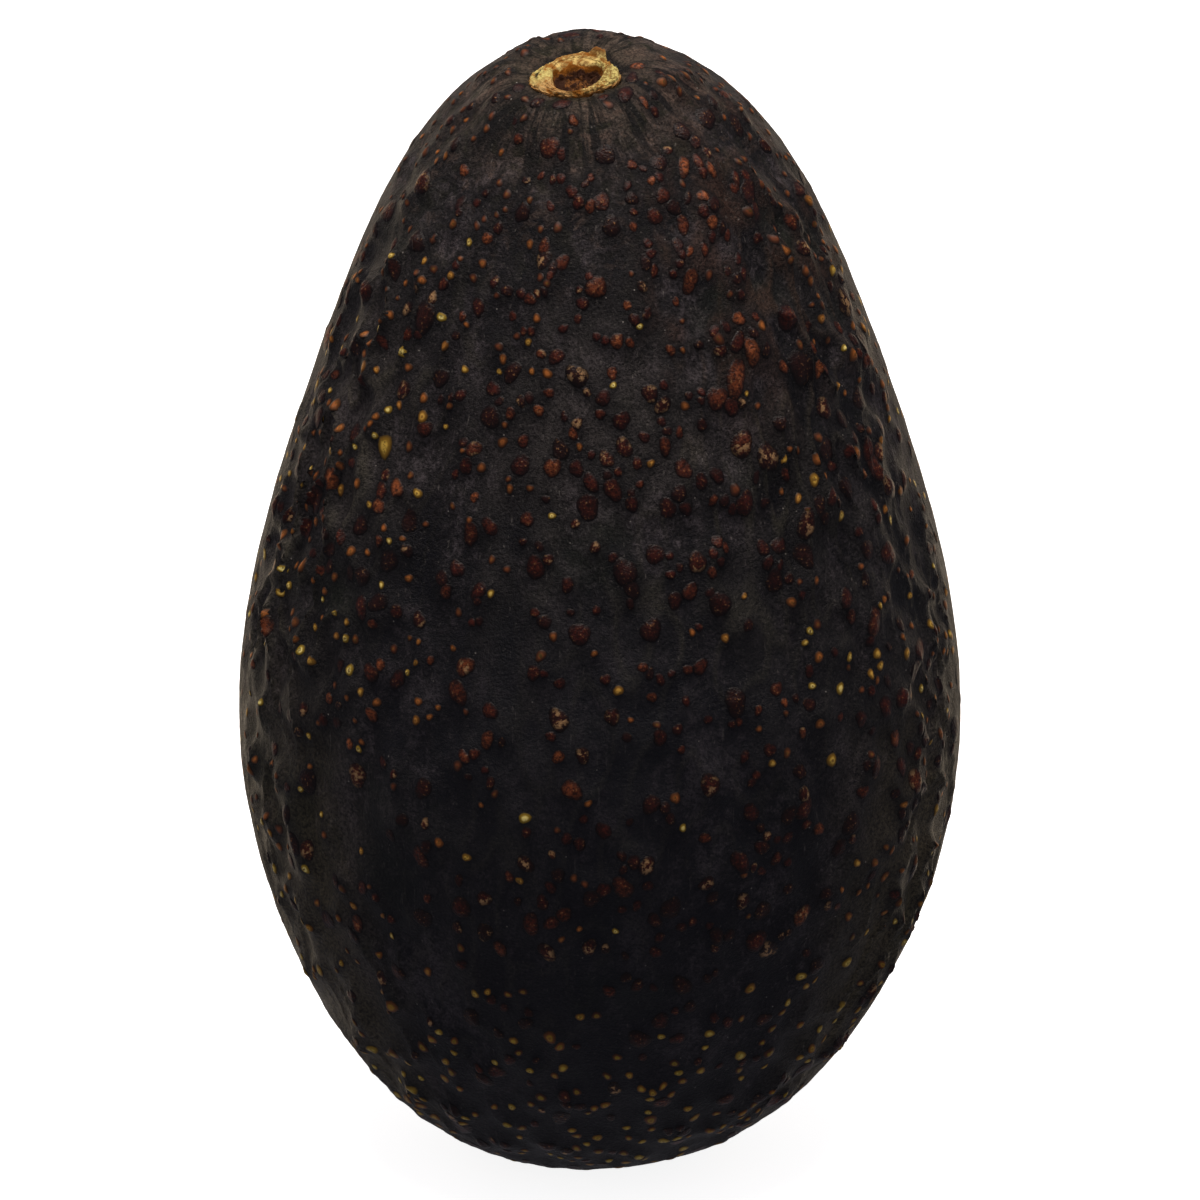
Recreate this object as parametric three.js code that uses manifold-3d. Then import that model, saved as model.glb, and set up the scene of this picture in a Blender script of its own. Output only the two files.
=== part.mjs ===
// An avocado with dark pebbled skin, picked, with the corky base of its stalk still in the neck.
// Millimetres, +Z up. It stands on its broad blossom end: the origin is at the middle of the small
// flat spot that it rests on, +Z runs up towards the stalk, and the stalk's scar leans towards -Y.

import * as THREE from "three";
import { ConvexHull } from "three/addons/math/ConvexHull.js";
import { mergeVertices } from "three/addons/utils/BufferGeometryUtils.js";
import Module from "manifold-3d";

const wasm = await Module();
wasm.setup();

// Driving dimensions of the fruit.
const fruitLength = 110.2; // from neck to blossom end, before the flat spot is pressed in
const fruitWidth = 66.8; // across the belly, for the outline formula
const restDepth = 1.1; // how far the flat spot goes into the blossom end
const endLean = 0.04; // how far both ends tip towards -X, as a slope
const taper = [-0.16, 0.055, 0.019, 0.027, -0.012]; // cosine waves that make the oval pear-shaped

// The pebbled skin: low rounded pebbles that run a little long from neck to blossom end, on
// shallow wavering ridges and a few broad furrows that run the same way.
const pebbleCount = 980;
const pebbleTries = 32; // places tried for each pebble: more make the spacing more even
const pebbleWidth = 3.4; // across a pebble, where it has sunk to a third of its height
const pebbleLength = 1.35; // length along the fruit over width across it
const pebbleHeight = 0.5; // of the tallest pebbles
const pebbleVariety = 0.55; // how much lower the lowest pebbles are, as a share of the tallest
const pebbleFade = 7; // squared distance, in half widths, past which a pebble adds nothing
const ridgeCount = 29;
const ridgeHeight = 0.13;
const furrowCount = 7;
const furrowDepth = 0.14;
const wanders = [
  { size: 1.6, along: 3.1, around: 2 },
  { size: 1.1, along: 7.3, around: -3 },
]; // waves that bend the ridges and furrows on their way

// The stalk's scar and the corky button in it.
const scarPolar = 0.18; // angle from the neck's tip, as the fruit's outline counts it
const scarAzimuth = -2.01; // around the long axis, from +X towards +Y
const scarLean = 0.23; // angle between +Z and the way the scar faces
const scarFlat = 5.2; // radius of the level place around the button
const scarFade = 11; // radius at which the skin is fully pebbled and round again
const scarSink = 0.25; // the level place lies this much lower than the round neck would
const buttonRadius = 4.6;
const buttonProud = 0.55; // the ring's crest above the skin
const buttonThickness = 2.4;
const hollowRadius = 2.3;
const hollowDepth = 1.7;
const seatGap = 0.3;

// Mesh fineness.
const buttonSides = 36;
const socketSides = 32;
const tableSteps = 720;
const weldDistance = 1e-4;

// A repeatable draw between 0 and 1 for a whole number and a salt.
function draw(index, salt) {
  const wave = Math.sin(index * 12.9898 + salt * 78.233) * 43758.5453;
  return wave - Math.floor(wave);
}

function smooth(low, high, value) {
  const share = Math.min(1, Math.max(0, (value - low) / (high - low)));
  return share * share * (3 - 2 * share);
}

// The smooth fruit: a tapered oval turned about +Z, its two ends tipped a little to one side.
// polar runs from 0 at the neck's tip to PI at the blossom end.
function girth(polar) {
  const shape = taper.reduce((sum, part, n) => sum + part * Math.cos((n + 1) * polar), 1);
  return (fruitWidth / 2) * Math.sin(polar) * shape;
}

function smoothSkin(polar, azimuth) {
  const level = Math.cos(polar);
  const aside = girth(polar) * Math.cos(azimuth);
  return new THREE.Vector3(
    aside,
    girth(polar) * Math.sin(azimuth),
    (fruitLength / 2) * (1 + level) - restDepth - endLean * aside * level ** 3,
  );
}

// The outline's length and skin area from the neck's tip down to each polar angle.
function outlineTable() {
  const rows = [{ polar: 0, length: 0, area: 0 }];
  for (let step = 1; step <= tableSteps; step += 1) {
    const from = rows[step - 1];
    const polar = (Math.PI * step) / tableSteps;
    const rise = (fruitLength / 2) * (Math.cos(from.polar) - Math.cos(polar));
    const run = girth(polar) - girth(from.polar);
    const stretch = Math.hypot(rise, run);
    const middle = (girth(polar) + girth(from.polar)) / 2;
    rows.push({
      polar,
      length: from.length + stretch,
      area: from.area + 2 * Math.PI * middle * stretch,
    });
  }
  return rows;
}

const outline = outlineTable();
const outlineEnd = outline[tableSteps];

// Looks a value up in one column of the table and reads another column beside it.
function lookUp(from, value, to) {
  let low = 0;
  let high = tableSteps;
  while (high - low > 1) {
    const middle = (low + high) >> 1;
    if (outline[middle][from] < value) low = middle;
    else high = middle;
  }
  const above = outline[low];
  const below = outline[high];
  const share = (value - above[from]) / (below[from] - above[from]);
  return above[to] + (below[to] - above[to]) * share;
}

// Distance between two places, squared, with what runs along the fruit counted shorter.
function spacing(one, other) {
  const across = (one.x - other.x) ** 2 + (one.y - other.y) ** 2;
  return across + ((one.z - other.z) / pebbleLength) ** 2;
}

// Pebble crowns over the whole skin. Each takes the roomiest of a few places drawn for it.
function pebbleCrowns() {
  const places = [];
  for (let index = 0; index < pebbleCount; index += 1) {
    let best = null;
    let bestRoom = -1;
    for (let attempt = 0; attempt < pebbleTries; attempt += 1) {
      const number = index * pebbleTries + attempt;
      const polar = lookUp("area", draw(number, 1) * outlineEnd.area, "polar");
      const azimuth = 2 * Math.PI * draw(number, 2);
      const place = { polar, azimuth, spot: smoothSkin(polar, azimuth) };
      const rooms = places.map((other) => spacing(place.spot, other.spot));
      const room = Math.min(Infinity, ...rooms);
      if (room > bestRoom) {
        best = place;
        bestRoom = room;
      }
    }
    places.push(best);
  }
  places.forEach((place, index) => {
    place.height = pebbleHeight * (1 - pebbleVariety * draw(index, 3));
  });
  return places;
}

const crowns = pebbleCrowns();

// Height of the pebbles over the smooth skin at a place: a round-topped mound at each crown.
function pebbles(place) {
  let height = 0;
  for (const crown of crowns) {
    const away = spacing(place, crown.spot) / (pebbleWidth / 2) ** 2;
    if (away < pebbleFade) height += crown.height * Math.exp(-away);
  }
  return height;
}

// Height of the ridges and furrows, which waver on their way and die out at both ends.
function ridges(polar, azimuth) {
  const wander = wanders.reduce(
    (sum, wave) => sum + wave.size * Math.sin(wave.along * polar + wave.around * azimuth),
    0,
  );
  const swell = 0.6 + 0.4 * Math.sin(5 * azimuth + 4.3 * polar);
  const ridge = ridgeHeight * swell * Math.sin(ridgeCount * azimuth + wander);
  const furrow = furrowDepth * Math.sin(furrowCount * azimuth + 0.6 * wander + 1);
  return Math.sin(polar) ** 2 * (ridge + furrow);
}

// The direction straight out of the smooth skin.
function outward(polar, azimuth) {
  const nudge = 1e-4;
  const down = smoothSkin(polar + nudge, azimuth).sub(smoothSkin(polar - nudge, azimuth));
  const round = smoothSkin(polar, azimuth + nudge).sub(smoothSkin(polar, azimuth - nudge));
  return down.cross(round).normalize();
}

const scarNormal = new THREE.Vector3(
  Math.sin(scarLean) * Math.cos(scarAzimuth),
  Math.sin(scarLean) * Math.sin(scarAzimuth),
  Math.cos(scarLean),
);
const scarCentre = smoothSkin(scarPolar, scarAzimuth).addScaledVector(scarNormal, -scarSink);

// The real skin: pebbles and ridges, which fade out where the skin lies level round the scar.
function skin(polar, azimuth) {
  const place = smoothSkin(polar, azimuth);
  const fromScar = place.clone().sub(scarCentre);
  const overScar = fromScar.dot(scarNormal);
  const aside = fromScar.addScaledVector(scarNormal, -overScar).length();
  const away = place.z > fruitLength / 2 ? smooth(scarFlat, scarFade, aside) : 1;
  const relief = away * (pebbles(place) + ridges(polar, azimuth));
  place.addScaledVector(outward(polar, azimuth), relief);
  return place.addScaledVector(scarNormal, -overScar * (1 - away));
}

function toSolid(geometry) {
  const bare = geometry.clone();
  bare.deleteAttribute("normal");
  bare.deleteAttribute("uv");
  const merged = mergeVertices(bare, weldDistance);
  const vertProperties = new Float32Array(merged.attributes.position.array);
  const triVerts = new Uint32Array(merged.index.array);
  return new wasm.Manifold(new wasm.Mesh({ numProp: 3, vertProperties, triVerts }));
}

function toGeometry(solid) {
  const mesh = solid.getMesh();
  const geometry = new THREE.BufferGeometry();
  geometry.setAttribute("position", new THREE.BufferAttribute(mesh.vertProperties, 3));
  geometry.setIndex(new THREE.BufferAttribute(mesh.triVerts, 1));
  geometry.computeVertexNormals();
  return geometry;
}

// Turns a shape made along +Z to point straight out of the scar.
const scarTurn = new THREE.Quaternion().setFromUnitVectors(new THREE.Vector3(0, 0, 1), scarNormal);

// Places on the skin stand for directions from the middle of a ball, which spread the outline's
// length evenly from pole to pole.
function wayTo(polar, azimuth) {
  const tilt = (Math.PI * lookUp("polar", polar, "length")) / outlineEnd.length;
  return new THREE.Vector3(
    Math.sin(tilt) * Math.cos(azimuth),
    Math.sin(tilt) * Math.sin(azimuth),
    Math.cos(tilt),
  );
}

function skinAlong(way) {
  const tilt = Math.acos(way.z / way.length());
  return skin(lookUp("length", (tilt / Math.PI) * outlineEnd.length, "polar"), Math.atan2(way.y, way.x));
}

// The skin as triangles between neighbouring crowns, each split in six through its middle and
// the middles of its edges, so that every pebble is a mound with its own top and hollows round it.
function skinGeometry() {
  const ways = crowns.map((crown) => wayTo(crown.polar, crown.azimuth));
  const numbers = new Map(ways.map((way, index) => [way, index]));
  const middles = new Map();
  const corners = [];

  function middle(one, other) {
    const key = Math.min(one, other) * pebbleCount + Math.max(one, other);
    if (!middles.has(key)) middles.set(key, ways.push(ways[one].clone().add(ways[other])) - 1);
    return middles.get(key);
  }

  for (const face of new ConvexHull().setFromPoints(ways.slice()).faces) {
    const ring = [0, 1, 2].map((n) => numbers.get(face.getEdge(n).head().point));
    const sum = ring.reduce((total, n) => total.add(ways[n]), new THREE.Vector3());
    const centre = ways.push(sum) - 1;
    ring.forEach((from, n) => {
      const to = ring[(n + 1) % 3];
      const half = middle(from, to);
      corners.push(from, half, centre, half, to, centre);
    });
  }

  const geometry = new THREE.BufferGeometry().setFromPoints(ways.map(skinAlong));
  geometry.setIndex(corners);
  return geometry;
}

function fruitGeometry() {
  const groundDepth = 20;
  const ground = new THREE.BoxGeometry(fruitWidth, fruitWidth, groundDepth);
  ground.translate(0, 0, -groundDepth / 2);

  const socketDepth = buttonThickness - buttonProud + seatGap;
  const cutterTop = 6;
  const socket = new THREE.CylinderGeometry(
    buttonRadius + seatGap,
    buttonRadius + seatGap,
    socketDepth + cutterTop,
    socketSides,
  );
  socket.rotateX(Math.PI / 2);
  socket.translate(0, 0, (cutterTop - socketDepth) / 2);
  socket.applyQuaternion(scarTurn);
  socket.translate(scarCentre.x, scarCentre.y, scarCentre.z);

  return toGeometry(toSolid(skinGeometry()).subtract(toSolid(ground)).subtract(toSolid(socket)));
}

// The button: a ring of cork with an uneven edge round a hollow, on a flat underside. It is made
// about +Z with the skin's level at z = 0.
function buttonGeometry() {
  const under = buttonProud - buttonThickness;
  const floor = buttonProud - hollowDepth;
  const profile = [
    [0, under],
    [buttonRadius - 0.7, under],
    [buttonRadius - 0.25, under + 0.5],
    [buttonRadius - 0.12, -0.1],
    [buttonRadius, 0.15],
    [buttonRadius - 0.2, buttonProud - 0.15],
    [buttonRadius - 0.9, buttonProud],
    [hollowRadius + 0.5, buttonProud - 0.05],
    [hollowRadius, buttonProud - 0.4],
    [hollowRadius - 0.3, floor + 0.35],
    [hollowRadius - 0.9, floor],
    [0, floor + 0.1],
  ];
  const ring = new THREE.LatheGeometry(
    profile.map(([x, y]) => new THREE.Vector2(x, y)),
    buttonSides,
  );
  ring.rotateX(Math.PI / 2);
  const spots = ring.attributes.position;
  for (let n = 0; n < spots.count; n += 1) {
    const x = spots.getX(n);
    const y = spots.getY(n);
    const around = Math.atan2(y, x);
    const edge = 0.955 + 0.03 * Math.sin(3 * around + 0.6) + 0.015 * Math.sin(7 * around + 2);
    const lift = 0.12 * Math.sin(2 * around + 1) * smooth(0, buttonRadius, Math.hypot(x, y));
    const raised = spots.getZ(n) > 0 ? lift : 0;
    spots.setXYZ(n, x * edge, y * edge, spots.getZ(n) + raised);
  }
  return toGeometry(toSolid(ring));
}

function fruit() {
  const material = new THREE.MeshStandardMaterial({ color: 0x231d1d, roughness: 0.62, metalness: 0 });
  const mesh = new THREE.Mesh(fruitGeometry(), material);
  mesh.name = "fruit";
  return mesh;
}

function stemButton() {
  const material = new THREE.MeshStandardMaterial({ color: 0xc4a265, roughness: 0.9, metalness: 0 });
  const mesh = new THREE.Mesh(buttonGeometry(), material);
  mesh.name = "stem_button";
  mesh.position.copy(scarCentre);
  mesh.quaternion.copy(scarTurn);
  return mesh;
}

const avocado = new THREE.Group();
avocado.name = "avocado";
avocado.add(fruit(), stemButton());

export default avocado;
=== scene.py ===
"""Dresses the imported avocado: pebbled skin, corky warts, lenticels and the cork left by the stalk."""

import math

import bpy
import numpy as np
from bpy.props import FloatProperty, FloatVectorProperty, IntProperty, PointerProperty
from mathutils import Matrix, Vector, noise


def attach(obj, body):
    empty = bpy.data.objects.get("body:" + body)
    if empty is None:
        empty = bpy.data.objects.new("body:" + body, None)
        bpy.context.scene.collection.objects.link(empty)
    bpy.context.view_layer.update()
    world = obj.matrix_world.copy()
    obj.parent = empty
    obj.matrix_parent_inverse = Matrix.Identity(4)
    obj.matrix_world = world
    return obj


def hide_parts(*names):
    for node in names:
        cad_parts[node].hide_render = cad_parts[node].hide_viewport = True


bl_info = {
    "name": "Pebbled avocado",
    "version": (1, 0, 0),
    "blender": (4, 5, 0),
    "location": "3D View > Sidebar > Avocado",
    "description": "Dresses a whole dark-skinned avocado and its studio stage",
    "category": "Add Mesh",
}

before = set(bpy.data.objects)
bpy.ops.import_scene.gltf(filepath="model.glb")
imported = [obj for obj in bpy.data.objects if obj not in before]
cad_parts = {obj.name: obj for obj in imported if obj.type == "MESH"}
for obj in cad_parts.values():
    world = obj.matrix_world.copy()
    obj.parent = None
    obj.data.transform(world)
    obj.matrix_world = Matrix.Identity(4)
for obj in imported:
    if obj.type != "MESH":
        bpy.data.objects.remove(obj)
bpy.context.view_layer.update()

MM = 0.001
TAU = 2 * math.pi

# The fruit's outline and relief, in millimetres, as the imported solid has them.
TAPER = (-0.16, 0.055, 0.019, 0.027, -0.012)
REST_DEPTH = 1.1
END_LEAN = 0.04
PEBBLE_COUNT = 980
PEBBLE_TRIES = 32
PEBBLE_WIDTH = 3.4
PEBBLE_LENGTH = 1.35
PEBBLE_VARIETY = 0.55
MOUND_FADE = 7
RIDGE_COUNT = 29
RIDGE_HEIGHT = 0.13
FURROW_COUNT = 7
FURROW_DEPTH = 0.14
WANDERS = ((1.6, 3.1, 2), (1.1, 7.3, -3))
SCAR_POLAR = 0.18
SCAR_AZIMUTH = -2.01
SCAR_LEAN = 0.23
SCAR_FLAT = 5.2
SCAR_FADE = 11.0
SCAR_SINK = 0.25
OUTLINE_STEPS = 720

# What only the looks have: the pit that the cork sits in, and the puckered skin round it.
PIT_DEPTH = 2.0
PUCKER_RADIUS = 8.0
PUCKER_REACH = 3.6
PUCKER_HEIGHT = 0.12
BARE_RADIUS = 5.6

# The cork ring in the scar's level: (degrees round from the view's right, radius) at its corners.
RING_OUTER = (
    (15, 3.2),
    (40, 3.2),
    (75, 3.3),
    (100, 3.0),
    (130, 2.9),
    (150, 3.0),
    (165, 3.6),
    (190, 4.4),
    (215, 4.5),
    (245, 4.4),
    (270, 4.7),
    (290, 4.3),
    (305, 4.4),
    (325, 4.8),
    (345, 4.4),
)
RING_INNER = (
    (10, 2.7),
    (45, 2.3),
    (80, 2.3),
    (115, 2.35),
    (150, 2.3),
    (185, 2.2),
    (215, 2.6),
    (235, 3.4),
    (250, 4.0),
    (268, 4.2),
    (285, 3.8),
    (305, 3.4),
    (330, 2.9),
)
# The ring's section: reach is 1 at its outer edge, 0 at its inner lip and -1 in the middle of the hollow.
RING_SECTION = (
    (0.9, -1.6),
    (0.97, -0.3),
    (1.03, 0.0),
    (1.0, 0.2),
    (0.92, 0.42),
    (0.6, 0.5),
    (0.3, 0.52),
    (0.05, 0.42),
    (-0.03, 0.15),
    (-0.1, -0.6),
    (-0.3, -1.1),
    (-0.7, -1.3),
    (-0.98, -1.15),
)
# A flake that curls up from the ring's far edge, and a crevice in its left crust.
FLAKE_TURN = math.radians(42)
FLAKE_HALF = math.radians(17)
FLAKE_RISE = 0.85
FLAKE_LEAN = 0.3
CRUST_TURN = math.radians(166)
CRUST_HALF = math.radians(34)
CRUST_DEPTH = 0.32
# The gap round the ring's far side: how deep, how far out from the ring, and its half width.
GAP_DEPTH = 0.4
GAP_AWAY = 0.6
GAP_HALF = 0.5
# The depth in the hollow that its material counts as 1.
HOLLOW_DEPTH = 1.1

# The view that the fruit is known by: from the side that the scar leans to, a little from above.
VIEW_ELEVATION = math.radians(20)
TO_EYE = np.array([0, -math.cos(VIEW_ELEVATION), math.sin(VIEW_ELEVATION)])
VIEW_WIDTH = 0.1128
VIEW_DISTANCE = 3.0
VIEW_AIM = (0.0, 0, 0.0539)

# Finer wavering ridges on the belly: how many go round, how much longer than wide, and how high.
WRINKLES_ROUND = 68
WRINKLE_STRETCH = 2.2
WRINKLE_HEIGHT = 0.18
# The flanks' relief is higher, round an angle from the view in degrees: all of it, and the finer ridges more.
FLANK_ANGLE = 62.0
FLANK_WIDTH = 24.0
FLANK_GAIN = 0.7
FLANK_WRINKLES = 2.2
# Where the view sees the skin edge on, within this cosine, it loses a share of its relief and stands proud.
CALM_FACING = 0.18
CALM_SHARE = 0.9
CALM_LEVEL = 0.55

# Areas painted lighter or, below 0, darker, as painted light and painted shade: how much, their level and
# half height in millimetres, and their angle from the view and half width in degrees.
PAINTED_LIGHT_AREAS = (
    (1.0, 79, 9, 4, 30),
    (0.9, 75, 18, -62, 18),
    (0.7, 88, 8, 62, 14),
    (-1.0, 75, 12, 42, 16),
    (-1.0, 68, 13, 68, 14),
    (-0.9, 62, 8, 0, 34),
)

# The spots that stand out in the view. In millimetres: how far aside, to its right, how far down it from the
# top of the fruit, and the radius. Then how many times longer than wide, and the tone, from 0 to 1.
MARKED_WARTS = (
    (-4.5, 11.4, 0.95, 1.0, 0.75),
    (-2.6, 15.1, 0.65, 1.0, 0.6),
    (0.1, 16.0, 0.75, 1.4, 0.7),
    (-7.4, 10.7, 0.5, 1.0, 0.8),
    (5.7, 15.4, 0.75, 1.1, 0.7),
    (5.0, 17.3, 0.8, 1.0, 0.6),
    (7.6, 18.1, 0.6, 1.9, 0.8),
    (-5.1, 20.1, 0.6, 1.5, 0.8),
    (-6.4, 25.1, 0.65, 1.0, 0.7),
    (-1.6, 25.3, 0.6, 1.2, 0.5),
    (-4.0, 30.4, 0.7, 1.3, 0.6),
    (-9.8, 33.3, 0.75, 1.1, 0.5),
    (-7.1, 38.1, 0.6, 1.1, 0.7),
    (1.9, 36.3, 0.85, 1.1, 0.45),
    (2.2, 38.6, 0.75, 1.5, 0.5),
    (4.6, 33.7, 0.8, 1.2, 0.45),
    (10.7, 34.2, 1.05, 1.2, 0.85),
    (-18.6, 42.6, 0.85, 1.1, 1.0),
    (-1.2, 44.2, 1.1, 1.2, 0.4),
    (3.0, 43.9, 0.7, 1.1, 0.4),
    (-1.9, 56.0, 1.0, 1.2, 0.45),
    (5.0, 48.6, 0.85, 1.3, 0.35),
    (-12.4, 59.0, 0.95, 1.1, 0.9),
    (-3.7, 64.0, 0.95, 1.3, 0.2),
    (-21.1, 63.6, 0.6, 1.3, 0.9),
    (-23.0, 66.4, 0.55, 1.1, 1.0),
    (4.6, 72.0, 0.85, 1.2, 0.3),
    (20.0, 74.2, 0.65, 1.1, 0.9),
    (18.7, 82.3, 0.9, 1.3, 0.95),
    (-9.1, 85.3, 0.65, 1.5, 0.85),
    (-22.5, 83.0, 0.7, 1.3, 0.9),
)
MARKED_LENTICELS = (
    (-14.5, 26.7, 0.5, 1.0, 0.0),
    (-11.9, 19.8, 0.42, 1.0, 0.1),
    (-18.4, 21.1, 0.38, 1.0, 0.1),
    (-22.3, 26.7, 0.42, 1.1, 0.2),
    (-12.5, 31.4, 0.42, 1.0, 0.3),
    (3.5, 27.5, 0.38, 1.0, 0.0),
    (1.2, 33.0, 0.36, 1.0, 0.0),
    (-4.4, 45.2, 0.38, 1.0, 0.1),
    (-19.7, 38.7, 0.72, 1.9, 0.25),
    (-6.8, 73.1, 0.6, 1.0, 0.05),
    (-12.3, 76.7, 0.46, 1.0, 0.3),
    (7.8, 74.1, 0.4, 1.1, 0.1),
    (21.9, 61.2, 0.55, 1.2, 0.1),
    (19.5, 61.0, 0.42, 1.0, 0.1),
    (19.2, 55.8, 0.4, 1.2, 0.0),
    (18.7, 56.8, 0.38, 1.0, 0.2),
    (1.5, 83.6, 0.36, 1.0, 0.1),
)

# Every spot: its height at a radius of half a millimetre, and its skirt's level as a share of its height.
SPOT_HEIGHT = 0.11
SKIRT = -0.6
# Places drawn for each spot that is wanted, and the lowest level of a spot.
DRAWS_PER_SPOT = 4
LOWEST_SPOT = 1.5
# The knob in the skin under a spot: its height and width at no radius, what each gains with the radius, and
# its length over its width.
KNOB_HEIGHT = 0.09
KNOB_HEIGHT_GAIN = 0.1
KNOB_WIDTH = 1.3
KNOB_WIDTH_GAIN = 1.9
KNOB_LENGTH = 1.2
# Radius over which a wart gets more faces.
LARGE_WART = 0.58
# How many warts are scabbed, and how many lenticels have an open pore.
SCAB_SHARE = 0.14
PORE_SHARE = 0.45

# Mix node sockets, which share their names.
SHARE, FIRST, SECOND, MIXED = 0, 6, 7, 2


def linear(code):
    """An sRGB hex code as opaque linear colour."""
    parts = [int(code[n : n + 2], 16) / 255 for n in (0, 2, 4)]
    return tuple(v / 12.92 if v <= 0.04045 else ((v + 0.055) / 1.055) ** 2.4 for v in parts) + (1.0,)


def draw(index, salt):
    """Repeatable draws between 0 and 1 for whole numbers and a salt."""
    wave = np.sin(index * 12.9898 + salt * 78.233) * 43758.5453
    return wave - np.floor(wave)


def smooth(low, high, value):
    """0 below low, 1 above high, and an S-shaped rise between them."""
    share = np.clip((value - low) / (high - low), 0, 1)
    return share * share * (3 - 2 * share)


def view_angle(azimuth):
    """Degrees round from the side that the scar leans to, towards +X."""
    return (np.degrees(azimuth) + 90 + 180) % 360 - 180


def round_radius(corners, turn):
    """Radius at each angle between a ring's corners, which are softened a little."""
    angles, radii = zip(*corners)
    total = 0
    for shift in (-9, 0, 9):
        total = total + np.interp(np.degrees(turn) + shift, angles, radii, period=360)
    return total / 3


def row_quads(rows, sides):
    """The squares between closed rows of places, as the places' numbers."""
    row = np.arange(rows - 1)[:, None] * sides
    side = np.arange(sides)[None, :]
    after = (side + 1) % sides
    return np.stack([row + side, row + sides + side, row + sides + after, row + after], -1)


class Fruit:
    """The fruit's surface in millimetres, by polar angle from the neck and azimuth from +X."""

    def __init__(self, sizes):
        self.length = sizes.length / MM
        self.width = sizes.width / MM
        self.polars = np.linspace(0, math.pi, OUTLINE_STEPS + 1)
        reach = self.girth(self.polars)
        stretch = np.hypot(self.length / 2 * np.diff(np.cos(self.polars)), np.diff(reach))
        self.lengths = np.concatenate([[0], np.cumsum(stretch)])
        self.areas = np.concatenate([[0], np.cumsum(np.pi * (reach[1:] + reach[:-1]) * stretch)])
        lean = np.array([math.cos(SCAR_AZIMUTH), math.sin(SCAR_AZIMUTH)]) * math.sin(SCAR_LEAN)
        self.scar_normal = np.array([*lean, math.cos(SCAR_LEAN)])
        scar = self.smooth_skin(np.array(SCAR_POLAR), np.array(SCAR_AZIMUTH))
        self.scar_centre = scar - SCAR_SINK * self.scar_normal
        self.pebble_height = sizes.pebble_height / MM
        self.place_crowns()
        self.knobs = []

    def girth(self, polar):
        shape = 1 + sum(part * np.cos((n + 1) * polar) for n, part in enumerate(TAPER))
        return self.width / 2 * np.sin(polar) * shape

    def smooth_skin(self, polar, azimuth):
        level = np.cos(polar)
        aside = self.girth(polar) * np.cos(azimuth)
        deep = self.girth(polar) * np.sin(azimuth)
        up = self.length / 2 * (1 + level) - REST_DEPTH - END_LEAN * aside * level**3
        return np.stack([aside, deep, up], -1)

    def polar_at_area(self, share):
        return np.interp(share * self.areas[-1], self.areas, self.polars)

    def polar_at_length(self, share):
        return np.interp(share * self.lengths[-1], self.lengths, self.polars)

    def moved(self, polar, azimuth, across, down):
        """Polar angle and azimuth that many millimetres across and down the skin."""
        per_angle = np.interp(polar, self.polars, np.gradient(self.lengths, self.polars))
        return polar + down / per_angle, azimuth + across / np.maximum(self.girth(polar), 1)

    def place_crowns(self):
        """The crown of each pebble, the roomiest of a few places drawn for it."""
        squash = np.array([1, 1, 1 / PEBBLE_LENGTH])
        self.crowns = np.zeros((PEBBLE_COUNT, 3))
        self.crown_polars = np.zeros(PEBBLE_COUNT)
        self.crown_azimuths = np.zeros(PEBBLE_COUNT)
        for index in range(PEBBLE_COUNT):
            number = index * PEBBLE_TRIES + np.arange(PEBBLE_TRIES)
            polar = self.polar_at_area(draw(number, 1))
            azimuth = TAU * draw(number, 2)
            places = self.smooth_skin(polar, azimuth)
            gaps = (((places[:, None] - self.crowns[None, :index]) * squash) ** 2).sum(-1)
            best = gaps.min(1).argmax() if index else 0
            self.crowns[index] = places[best]
            self.crown_polars[index] = polar[best]
            self.crown_azimuths[index] = azimuth[best]
        self.crown_heights = self.pebble_height * (1 - PEBBLE_VARIETY * draw(np.arange(PEBBLE_COUNT), 3))

    def mounds(self, places, spots, widths, heights, length):
        """Height at each place of round-topped mounds, length times as long as they are wide."""
        order = np.argsort(places[:, 2])
        levels = places[order, 2]
        total = np.zeros(len(places))
        squash = np.array([1, 1, 1 / length])
        for spot, width, height in zip(spots, widths, heights):
            reach = math.sqrt(MOUND_FADE) * width / 2 * length
            near = order[slice(*np.searchsorted(levels, (spot[2] - reach, spot[2] + reach)))]
            away = (((places[near] - spot) * squash) ** 2).sum(-1) / (width / 2) ** 2
            total[near] += np.where(away < MOUND_FADE, height * np.exp(-away), 0)
        return total

    def ridges(self, polar, azimuth):
        """Ridges and furrows that waver on their way from neck to blossom end."""
        wander = sum(size * np.sin(along * polar + around * azimuth) for size, along, around in WANDERS)
        swell = 0.6 + 0.4 * np.sin(5 * azimuth + 4.3 * polar)
        ridge = RIDGE_HEIGHT * swell * np.sin(RIDGE_COUNT * azimuth + wander)
        furrow = FURROW_DEPTH * np.sin(FURROW_COUNT * azimuth + 0.6 * wander + 1)
        return np.sin(polar) ** 2 * (ridge + furrow)

    def wrinkles(self, polar, azimuth):
        """Fine ridges that waver and fork, 1 on their crests, as a share at each place."""
        radius = WRINKLES_ROUND / TAU
        along = np.interp(polar, self.polars, self.lengths) / (self.width / 2) * radius / WRINKLE_STRETCH
        ways = zip(radius * np.cos(azimuth), radius * np.sin(azimuth), along)
        drift = np.array([noise.noise(Vector(way)) for way in ways])
        swell = 0.6 + 0.4 * np.sin(4 * azimuth + 3.7 * polar + 1.3)
        return swell * np.clip(1 - 5 * np.abs(drift), 0, 1) ** 1.5

    def calm(self, outward):
        """How much of its relief the skin keeps, by which way it faces."""
        return 1 - CALM_SHARE * np.exp(-((outward @ TO_EYE / CALM_FACING) ** 2))

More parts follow.
